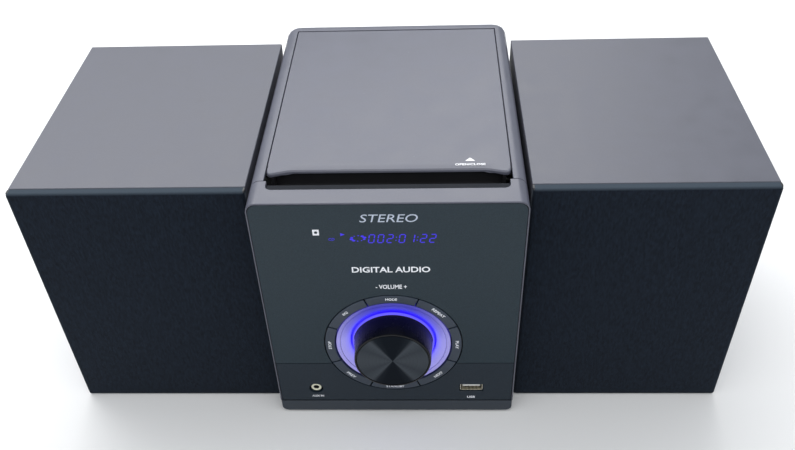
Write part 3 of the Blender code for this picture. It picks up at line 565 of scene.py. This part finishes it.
def round_edges(shape, width, segments):
    """Rounds all edges that are sharper than the angle that shades smooth."""
    sharp = [e for e in shape.edges if len(e.link_faces) == 2 and e.calc_face_angle(0) > SMOOTH_BELOW]
    bmesh.ops.bevel(
        shape, geom=sharp, offset=width, segments=segments, profile=0.5, affect="EDGES", clamp_overlap=False
    )


def refined(node, name, look, width, segments=2, shaped=None):
    """The CAD node's own solid, shaped further and with its edges rounded as the real moulding's are."""
    shape = solid_of(node)
    if shaped:
        shaped(shape)
    round_edges(shape, width, segments)
    return piece(name, shape, look, BODY_OF[node], (node,))


def keep(node, look):
    """A CAD node that shows as it is, with a finished material."""
    materials = NODES[node].data.materials
    materials.clear()
    materials.append((LOOKS[look] if isinstance(look, str) else look).material)


def lathe(profile, steps, flutes=None):
    """A bmesh turned from a closed profile of (radius, height) in millimetres.

    flutes is (count, depth, lowest, highest): grooves in the part of the profile between two heights.
    """
    shape = bmesh.new()
    rings = []
    for k in range(steps):
        turn = math.tau * k / steps
        ring = []
        for radius, height in profile:
            if flutes and flutes[2] <= height <= flutes[3] and k % (steps // flutes[0]) == 0:
                radius -= flutes[1]
            at = (radius * math.cos(turn), radius * math.sin(turn), height)
            ring.append(shape.verts.new(Vector(at) * MM))
        rings.append(ring)
    count = len(profile)
    for k in range(steps):
        here, there = rings[k], rings[(k + 1) % steps]
        for j in range(count):
            shape.faces.new((here[j], there[j], there[(j + 1) % count], here[(j + 1) % count]))
    bmesh.ops.remove_doubles(shape, verts=shape.verts, dist=0.001 * MM)
    return shape


def box_shape(low, high, width=0.0, segments=2):
    """A bmesh box between two corners, with rounded edges if width is given."""
    shape = bmesh.new()
    low, high = Vector(low), Vector(high)
    size = high - low
    place = Matrix.Translation((low + high) / 2) @ Matrix.Diagonal((*size, 1))
    bmesh.ops.create_cube(shape, size=1, matrix=place)
    if width:
        bmesh.ops.bevel(
            shape, geom=list(shape.edges), offset=width, segments=segments, profile=0.5, affect="EDGES"
        )
    return shape


PRINT_T = 0.05 * MM
PRINT_IN = 0.01 * MM  # how deep a print's back lies in the surface behind it


def printed(*outlines):
    """A bmesh of flat outlines in the XY plane, in millimetres, as a skin of ink towards +Z."""
    shape = bmesh.new()
    for outline in outlines:
        face = shape.faces.new([shape.verts.new((x * MM, y * MM, 0)) for x, y in outline])
        grown = bmesh.ops.extrude_face_region(shape, geom=[face])
        moved = [g for g in grown["geom"] if isinstance(g, bmesh.types.BMVert)]
        bmesh.ops.translate(shape, verts=moved, vec=(0, 0, PRINT_T))
    return shape


def oval(centre, half, points):
    """Outline of an ellipse with half widths (x, y) about its centre."""
    turns = [math.tau * k / points for k in range(points)]
    return [(centre[0] + half[0] * math.cos(t), centre[1] + half[1] * math.sin(t)) for t in turns]


def rectangle(x, y, half_x, half_y):
    """Outline of a rectangle about the middle (x, y)."""
    corners = ((-1, -1), (1, -1), (1, 1), (-1, 1))
    return [(x + half_x * across, y + half_y * up) for across, up in corners]


def words(name, text, look, body, slot, centre, size, turn, weight=0.0, slant=0.0):
    """Printed words fitted to size (width, height), as a thin skin on the surface behind them."""
    curve = bpy.data.curves.new(name, "FONT")
    curve.body = text
    curve.extrude = 0.02
    curve.offset = weight
    curve.shear = slant
    curve.resolution_u = 3
    drawn = bpy.data.objects.new(name, curve)
    bpy.context.scene.collection.objects.link(drawn)
    graph = bpy.context.evaluated_depsgraph_get()
    mesh = bpy.data.meshes.new_from_object(drawn.evaluated_get(graph))
    bpy.data.objects.remove(drawn)
    shape = bmesh.new()
    shape.from_mesh(mesh)
    bpy.data.meshes.remove(mesh)
    bmesh.ops.remove_doubles(shape, verts=shape.verts, dist=0.0001)
    low = [min(v.co[k] for v in shape.verts) for k in range(3)]
    high = [max(v.co[k] for v in shape.verts) for k in range(3)]
    for v in shape.verts:
        v.co.x = ((v.co.x - low[0]) / (high[0] - low[0]) - 0.5) * size[0]
        v.co.y = ((v.co.y - low[1]) / (high[1] - low[1]) - 0.5) * size[1]
        v.co.z = (v.co.z - low[2]) / (high[2] - low[2]) * PRINT_T
    return piece(name, shape, look, body, (), centre, turn)


# ---------------------------------------------------------------- console case


def ease(value):
    """A smooth step from 0 to 1."""
    value = max(0.0, min(1.0, value))
    return value * value * (3 - 2 * value)


LID_TOP = LID_HIGH.z - 0.06 * MM  # leaves room for the print on the lid
LIP = 11.0 * MM  # how far the shaped front edge reaches back
LIP_ROWS = 8
LIP_EASE = 14 * MM  # how wide the change from corner to middle is
LIP_SKIN = 1.6 * MM  # how deep under the top the dip reaches
LIP_DROP = 0.8 * MM
LIP_BACK = 3.6 * MM
LIP_CORNER = 1.6 * MM  # how far even the corners are pulled back
LIP_HALF_W = 66 * MM
LIP_COLUMNS = (66, 64.5, 63, 61, 58.5, 55.5, 52, 48)  # x of its lengthwise edges, in millimetres


def cut_across(shape, point, normal):
    """New edges where a plane crosses the shape."""
    everything = list(shape.verts) + list(shape.edges) + list(shape.faces)
    bmesh.ops.bisect_plane(shape, geom=everything, plane_co=point, plane_no=normal)


def lid_lip(shape):
    """Dips and pulls back the lid's front edge between its corners."""
    front, top = LID_LOW.y, LID_HIGH.z
    for k in range(1, LIP_ROWS + 1):
        cut_across(shape, (0, front + LIP * k / LIP_ROWS, 0), (0, 1, 0))
    for x in LIP_COLUMNS:
        for side in (-1, 1):
            cut_across(shape, (side * x * MM, 0, 0), (1, 0, 0))
    for v in shape.verts:
        share = 1 - (v.co.y - front) / LIP
        if share <= 0:
            continue
        middle = ease((LIP_HALF_W - abs(v.co.x)) / LIP_EASE)
        if v.co.z > top - LIP_SKIN:
            v.co.z -= LIP_DROP * middle * share**1.6
        v.co.y += (LIP_CORNER + LIP_BACK * middle) * min(1.0, share * 1.1)


def case():
    """The grey housing, bezel and lid, the fascia panels and the plinth."""
    refined("housing_shell", "housing_skin", "satin_grey", 0.30 * MM)
    refined("front_bezel", "bezel_skin", "satin_grey", 0.25 * MM)
    lid = refined("cd_lid", "lid_skin", "satin_grey", 0.30 * MM, 2, lid_lip)
    for v in lid.data.vertices:
        v.co.z = min(v.co.z, LID_TOP)
    keep("fascia_window", "gloss_fascia")
    refined("fascia_lower", "fascia_lower_panel", "gloss_lower", 0.30 * MM)
    refined("base_tray", "plinth_skin", "plinth_grey", 0.40 * MM)


ON_FASCIA = FASCIA_Y - PRINT_IN
SENSOR = (-38.75 * MM, 153.2 * MM)
OPEN_SIGN = (44.8 * MM, LID_LOW.y + 13.9 * MM)


def prints():
    """Generic lettering and signs, in the places where the set has its printing."""

    def front(name, text, look, x, z, **how):
        """Words between two x and two z positions in millimetres."""
        size = ((x[1] - x[0]) * MM, (z[1] - z[0]) * MM)
        centre = ((x[0] + x[1]) / 2 * MM, ON_FASCIA, (z[0] + z[1]) / 2 * MM)
        words(name, text, look, "console", "gloss_fascia", centre, size, FACE, **how)

    front("print_heading", "STEREO", "ink_grey", (-14.8, 16.2), (160.0, 165.3), slant=0.2)
    front("print_kind", "DIGITAL AUDIO", "ink_white", (-21.1, 22.6), (123.9, 128.1), weight=0.02)
    front("print_volume", "- VOLUME +", "ink_white", (-8.4, 9.3), (111.2, 114.4), weight=0.02)
    front("print_aux", "AUX IN", "ink_white", (-54.0, -46.4), (15.4, 17.2), weight=0.02)
    front("print_usb", "USB", "ink_white", (45.7, 50.7), (14.1, 16.1), weight=0.02)

    for name, outline, look, proud in (
        ("print_sensor_square", rectangle(0, 0, 1.75, 2.0), "ink_white", 0),
        ("print_sensor_dot", oval((0, 0), (0.9, 0.9), 20), "gloss_fascia", PRINT_T),
    ):
        centre = (SENSOR[0], ON_FASCIA - proud, SENSOR[1])
        piece(name, printed(outline), look, "console", (), centre, FACE)

    x, y = OPEN_SIGN
    on_lid = LID_TOP - PRINT_IN
    arrow = [(-2.7, -1.4), (2.7, -1.4), (0, 1.6)]
    piece("print_open_arrow", printed(arrow), "ink_lid", "lid", (), (x, y, on_lid), TOP)
    below, size = (x, y - 4.7 * MM, on_lid), (16.6 * MM, 1.9 * MM)
    words("print_open_close", "OPEN/CLOSE", "ink_lid", "lid", "satin_grey", below, size, TOP, weight=0.02)


# ---------------------------------------------------------------- display


SEGMENTS = {"0": "abcdef", "1": "bc", "2": "abged"}
FIGURES = (("0", -9.4), ("0", -4.4), ("2", 0.6), ("0", 7.1), ("1", 12.2), ("2", 18.6), ("2", 23.6))
COLONS_X = (3.9, 15.4)
FIGURES_Z = 145.5 * MM  # the line that the figures stand on
LEAN = 0.16
DISC_SIGN = (-16.8, 3.4)  # middle of the ring of dots that stands for a disc
DISC_DOTS = 10


def bar(start, end, width):
    """A pointed bar between two points, as a display segment has."""
    a, b = Vector(start), Vector(end)
    along = (b - a).normalized()
    side = Vector((-along.y, along.x)) * width / 2
    tip = along * width / 2
    return [a, a + tip + side, b - tip + side, b, b - tip - side, a + tip - side]


def leaning(outline):
    """The outline with the display's forward slant."""
    return [(x + LEAN * y, y) for x, y in outline]


def digit(character, x, width=3.5, height=6.2, weight=0.62, gap=0.16):
    """Outlines of one seven-segment digit that stands on the line y = 0, in millimetres."""
    w, h = width - weight, height / 2 - weight / 2
    left, right, low = x - w / 2, x + w / 2, weight / 2
    corners = {
        "a": ((left, low + 2 * h), (right, low + 2 * h)),
        "g": ((left, low + h), (right, low + h)),
        "d": ((left, low), (right, low)),
        "f": ((left, low + h), (left, low + 2 * h)),
        "b": ((right, low + h), (right, low + 2 * h)),
        "e": ((left, low), (left, low + h)),
        "c": ((right, low), (right, low + h)),
    }
    made = []
    for letter in SEGMENTS[character]:
        a, b = (Vector(c) for c in corners[letter])
        step = (b - a).normalized() * gap
        made.append(leaning(bar(a + step, b - step, weight)))
    return made


def display():
    """Lit blue figures in the window: play sign, turning disc, and figures for the track and the time."""
    outlines = []
    for character, x in FIGURES:
        outlines += digit(character, x)
    for x in COLONS_X:
        outlines += [leaning(rectangle(x, y, 0.3, 0.3)) for y in (1.9, 4.1)]
    outlines.append([(-25.6, 5.2), (-23.2, 6.2), (-25.6, 7.2)])
    for k in range(DISC_DOTS):
        turn = math.tau * (k + 0.5) / DISC_DOTS
        large = math.cos(turn - math.radians(25)) ** 2
        x, y = DISC_SIGN[0] + 3.6 * math.cos(turn), DISC_SIGN[1] + 1.9 * math.sin(turn)
        outlines.append(oval((x + LEAN * y, y), (0.35 + 0.75 * large, 0.25 + 0.45 * large), 12))
    piece("display_figures", printed(*outlines), "display", "console", (),
          (0, ON_FASCIA, FIGURES_Z), FACE)
    words("display_source", "CD", "display", "console", "gloss_fascia",
          (-30.6 * MM, ON_FASCIA, 148.4 * MM), (3.2 * MM, 1.7 * MM), FACE, slant=0.2)


# ---------------------------------------------------------------- dial


KEY_NAMES = ("MODE", "REPEAT", "PLAY", "NEXT", "STANDBY", "PREV", "STOP", "EQ")
KEY_PRINT_R = 38.5 * MM

# Profiles of (radius, height) in millimetres about the dial's axis, with height towards the front.
GUIDE = (
    (26.0, -6.0), (26.0, -4.3), (26.15, -3.9), (26.6, -3.6), (28.0, -2.9), (29.8, -2.0), (31.3, -1.3),
    (31.8, -1.2), (32.0, -1.6), (32.2, -1.6), (32.4, -1.0), (32.7, -0.85), (34.2, -0.75),
    (34.55, -0.85), (34.7, -1.1), (34.7, -6.0),
)
TUBE = (
    (24.1, -5.9), (24.1, -2.0), (24.25, -1.7), (24.6, -1.7), (24.75, -2.1), (24.85, -4.4),
    (25.7, -4.7), (25.7, -5.9),
)
KNOB = (
    (3.35, 7.5), (3.35, -1.0), (4.8, -1.0), (4.8, 9.0), (19.6, 9.0), (20.7, -3.0), (23.4, -3.0),
    (23.7, -2.7), (23.68, -2.4), (23.6, 0.0), (23.2, 6.0), (22.85, 11.8), (22.8, 12.5), (22.68, 12.85),
    (22.4, 13.0), (21.85, 13.0), (21.75, 12.9), (21.75, 11.8), (3.35, 11.8),
)
FLUTES = (96, 0.09, -2.5, 11.9)  # as lathe takes them
CAP = ((0, 12.1), (21.4, 12.1), (21.4, 12.75), (21.3, 12.9), (18, 12.9), (12, 12.9), (6, 12.9), (0, 12.9))


def key(k, name):
    """A ring key and its label, turned to read upright in the upper and the lower half of the ring."""
    node = f"ring_button_{k + 1}"
    refined(node, f"key_{k + 1}_cap", "key_black", 0.35 * MM, 3)
    polar = 90 - 45 * k
    across, up = math.cos(math.radians(polar)), math.sin(math.radians(polar))
    turn = polar - 90 if up > -0.01 else polar + 90
    on_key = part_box(node)[0].y - PRINT_IN
    centre = (DIAL.x + KEY_PRINT_R * across, on_key, DIAL.z + KEY_PRINT_R * up)
    facing = (FACE.to_matrix() @ Matrix.Rotation(math.radians(turn), 3, "Z")).to_euler()
    size = ((1.55 * len(name) + 0.6) * MM, 1.9 * MM)
    words(f"print_key_{k + 1}", name, "ink_white", BODY_OF[node], "black_plastic", centre, size, facing,
          weight=0.02)


def dial():
    """The ring keys, the lit ring with the tube inside it, and the knob with its spun cap."""
    for k, name in enumerate(KEY_NAMES):
        key(k, name)
    for name, shape, look, body, slot, nodes in (
        ("light_ring_lens", lathe(GUIDE, 160), "light_guide", "console", "light_guide", ["light_ring"]),
        ("light_tube", lathe(TUBE, 160), "glow", "console", "light_guide", []),
        ("knob_body", lathe(KNOB, 288, FLUTES), "knob_black", "volume", "black_plastic", ["volume_knob"]),
        ("knob_face", lathe(CAP, 128), "spun_metal", "volume", "spun_metal", ["knob_cap"]),
    ):
        piece(name, shape, look, body, nodes, DIAL, FACE)


# ---------------------------------------------------------------- front sockets


JACK_RING = (
    (1.9, -0.6), (1.75, -0.1), (1.95, 0.2), (2.3, 0.25), (2.9, 0.25), (3.2, 0.1), (3.3, -0.2), (3.3, -0.6)
)
USB_DEPTH = 9 * MM
USB_WALL = 0.3 * MM
USB_FLARE = 0.25 * MM  # how much wider the shell is at its mouth, on each side
USB_FLARE_DEPTH = 0.8 * MM
USB_CORNER_R = 0.9 * MM
CONTACT_PITCH = 2.3  # in millimetres


def rim(shape, y, grow):
    """A rounded rectangular loop of the USB shell at depth y, grown outwards from the socket's box."""
    points = []
    right, top = USB_HIGH.x + grow - USB_CORNER_R, USB_HIGH.z + grow - USB_CORNER_R
    left, bottom = USB_LOW.x - grow + USB_CORNER_R, USB_LOW.z - grow + USB_CORNER_R
    for x, z, start in ((right, top, 0), (left, top, 90), (left, bottom, 180), (right, bottom, 270)):
        for k in range(5):
            turn = math.radians(start + 22.5 * k)
            at = (x + USB_CORNER_R * math.cos(turn), y, z + USB_CORNER_R * math.sin(turn))
            points.append(shape.verts.new(at))
    return points


def jack_ring():
    """Ivory ring of the line socket."""
    jack = (JACK_LOW + JACK_HIGH) / 2
    piece("jack_ring", lathe(JACK_RING, 48), "jack_ring", "console", (),
          (jack.x, JACK_LOW.y, jack.z), FACE)


def usb_shell():
    """The folded steel shell of the USB socket, which flares at its mouth."""
    depths = ((0, 0), (USB_FLARE_DEPTH, -USB_FLARE), (USB_DEPTH, -USB_FLARE))
    shell = bmesh.new()
    loops = [rim(shell, USB_LOW.y + depth, grow) for depth, grow in depths]
    loops += [rim(shell, USB_LOW.y + depth, grow - USB_WALL) for depth, grow in reversed(depths)]
    for k, here in enumerate(loops):
        there = loops[(k + 1) % len(loops)]
        for j in range(len(here)):
            shell.faces.new((here[j], here[(j + 1) % len(here)], there[(j + 1) % len(here)], there[j]))
    piece("usb_shell", shell, "nickel", "console", ("usb_socket",))


def usb_inside():
    """The USB socket's tongue, back wall, four contacts and two springs, each of them a box.

    A box is given by its middle x, half width, depths behind the mouth and heights from the middle,
    all in millimetres.
    """
    middle = (USB_LOW + USB_HIGH) / 2
    deep = USB_DEPTH / MM
    half_w, half_h = (USB_HIGH.x - USB_LOW.x) / 2 / MM, (USB_HIGH.z - USB_LOW.z) / 2 / MM

    def block(name, look, x, half, depths, heights, width=0.0, segments=2):
        low = (middle.x + (x - half) * MM, USB_LOW.y + depths[0] * MM, middle.z + heights[0] * MM)
        high = (middle.x + (x + half) * MM, USB_LOW.y + depths[1] * MM, middle.z + heights[1] * MM)
        piece(name, box_shape(low, high, width * MM, segments), look, "console")

    block("usb_tongue", "white_plastic", 0, 5.6, (0.6, deep), (0, 1.7), 0.2)
    block("usb_back", "black_plastic", 0, half_w - 0.6, (deep - 1.0, deep), (0.6 - half_h, half_h - 0.6))
    for k in range(4):
        x = (k - 1.5) * CONTACT_PITCH
        block(f"usb_contact_{k + 1}", "nickel", x, 0.5, (1.7, deep - 1.2), (-0.18, -0.02), 0.05, 1)
    for word, x in (("left", -2.9), ("right", 2.9)):
        block(f"usb_spring_{word}", "steel", x, 0.9, (0.6, 3.6), (half_h - 1.5, half_h - 0.7), 0.25)


# ---------------------------------------------------------------- speakers


CLOTH_T = 0.15 * MM  # how far the cloth stands off its frame
CLOTH_DEPTH = 4.6 * MM
CLOTH_EDGE_R = 1.8 * MM


def speaker(word):
    """The vinyl-clad cabinet and the grille; the driver's pieces stay as they are."""
    refined(f"cabinet_{word}", f"cabinet_skin_{word}", "grey_vinyl", 0.6 * MM, 3)
    keep(f"grille_{word}", "black_plastic")
    grille_cloth(word)


def grille_cloth(word):
    """The cloth stretched over the grille frame's face and sides, open at the rear."""
    low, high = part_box(f"grille_{word}")
    back = low.y + CLOTH_DEPTH
    low = Vector((low.x - CLOTH_T, low.y - CLOTH_T, low.z - CLOTH_T))
    high = Vector((high.x + CLOTH_T, back, high.z + CLOTH_T))
    shape = box_shape(low, high)
    rear = [f for f in shape.faces if f.calc_center_median().y > back - 0.01 * MM]
    bmesh.ops.delete(shape, geom=rear, context="FACES_ONLY")
    front = [e for e in shape.edges if not e.is_boundary]
    bmesh.ops.bevel(shape, geom=front, offset=CLOTH_EDGE_R, segments=5, profile=0.5, affect="EDGES")
    made = piece(f"grille_cloth_{word}", shape, "grille_cloth", BODY_OF[f"grille_{word}"])


# ---------------------------------------------------------------- CAD nodes that stay


KEPT = {
    "rubber": ("foot_front_left", "foot_front_right", "foot_rear_left", "foot_rear_right",
               "cord_gland_left", "cord_gland_right"),
    "black_plastic": ("rear_panel", "dial_carrier", "display_module", "disc_deck", "lid_damper",
                      "lid_latch", "turntable", "jack_socket"),
    "scoop_black": ("slot_liner",),
    "nickel": ("volume_encoder", "antenna_socket"),
    "steel": ("mech_chassis", "guide_rod_left", "guide_rod_right", "spindle_motor", "sled_motor",
              "encoder_shaft", "sled_gear"),
    "circuit_board": ("front_board",),
    "aluminium": ("heat_sink",),
    "white_plastic": ("disc_clamp", "damper_pinion"),
    "dark_steel": ("driver_basket_left", "driver_basket_right"),
}


def kept_nodes():
    """Finishes the CAD nodes that no piece stands for."""
    for look, nodes in KEPT.items():
        for node in nodes:
            keep(node, look)
    keep("main_board", main_board_look())
    keep("transformer", transformer_look())
    keep("speaker_sockets", socket_plate_look())
    keep("ac_inlet", inlet_look())
    keep("pickup_sled", sled_look())
    for word in SPEAKERS:
        low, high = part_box(f"driver_cone_{word}")
        keep(f"driver_cone_{word}", paper_cone((low + high) / 2))


# ---------------------------------------------------------------- studio


def area_light(name, centre, target, size, radiance):
    """A rectangular soft light that faces target and has the same brightness all over."""
    light = bpy.data.lights.new(name, "AREA")
    light.shape = "RECTANGLE"
    light.size, light.size_y = size
    light.energy = radiance * math.pi * size[0] * size[1]
    made = bpy.data.objects.new(name, light)
    bpy.context.scene.collection.objects.link(made)
    made.location = centre
    made.rotation_euler = (Vector(target) - Vector(centre)).to_track_quat("-Z", "Y").to_euler()


def lights():
    """A large light overhead and behind, a fill from the front and one from each side."""
    area_light("overhead", (-0.25, 0.72, 1.18), (0, 0, 0.1), (1.7, 1.1), 3.4)
    area_light("front_fill", (0, -0.9, 1.5), (0, 0, 0), (1.8, 1.2), 1.9)
    area_light("side_left", (-1.5, -0.5, 0.7), (0, 0, 0.1), (0.9, 0.9), 1.2)
    area_light("side_right", (1.5, -0.5, 0.7), (0, 0, 0.1), (0.9, 0.9), 1.2)


def floor():
    """A wide pale floor, a hair below the feet."""
    look = Look("floor_pale", (0.84, 0.84, 0.84), 0.6, Specular_IOR_Level=0.2)
    shape = bmesh.new()
    bmesh.ops.create_grid(shape, x_segments=2, y_segments=2, size=6)
    mesh = bpy.data.meshes.new("floor")
    shape.to_mesh(mesh)
    shape.free()
    mesh.materials.append(look.material)
    made = bpy.data.objects.new("floor", mesh)
    bpy.context.scene.collection.objects.link(made)
    made.location.z = -0.05 * MM


def surroundings():
    """A pale room that is dimmer in front than behind."""
    world = bpy.data.worlds.new("studio")
    world.use_nodes = True
    tree = world.node_tree
    background = tree.nodes["Background"]
    where = tree.nodes.new("ShaderNodeTexCoord")
    parts = tree.nodes.new("ShaderNodeSeparateXYZ")
    depth = tree.nodes.new("ShaderNodeMapRange")
    depth.interpolation_type = "SMOOTHSTEP"
    for key, value in (("From Min", -0.75), ("From Max", 0.1), ("To Min", 0.30), ("To Max", 0.62)):
        depth.inputs[key].default_value = value
    tree.links.new(where.outputs["Generated"], parts.inputs[0])
    tree.links.new(parts.outputs["Y"], depth.inputs["Value"])
    tree.links.new(depth.outputs["Result"], background.inputs["Strength"])
    background.inputs["Color"].default_value = (0.90, 0.95, 1.0, 1)
    bpy.context.scene.world = world


def camera():
    """A camera above the front, close to the set, with plain view colours."""
    lens = bpy.data.cameras.new("camera")
    lens.sensor_width = 36
    lens.lens = 38.68
    lens.shift_y = 0.0629
    lens.clip_start, lens.clip_end = 0.02, 20
    made = bpy.data.objects.new("camera", lens)
    bpy.context.scene.collection.objects.link(made)
    made.location = (0.0229, -0.4488, 0.4458)
    made.rotation_euler = tuple(math.radians(a) for a in (47.28, 1.76, 1.42))
    bpy.context.scene.camera = made
    bpy.context.scene.view_settings.view_transform = "Standard"
    bpy.context.scene.view_settings.look = "None"


case()
display()
prints()
dial()
jack_ring()
usb_shell()
usb_inside()
for side in SPEAKERS:
    speaker(side)
kept_nodes()
floor()
surroundings()
lights()
camera()
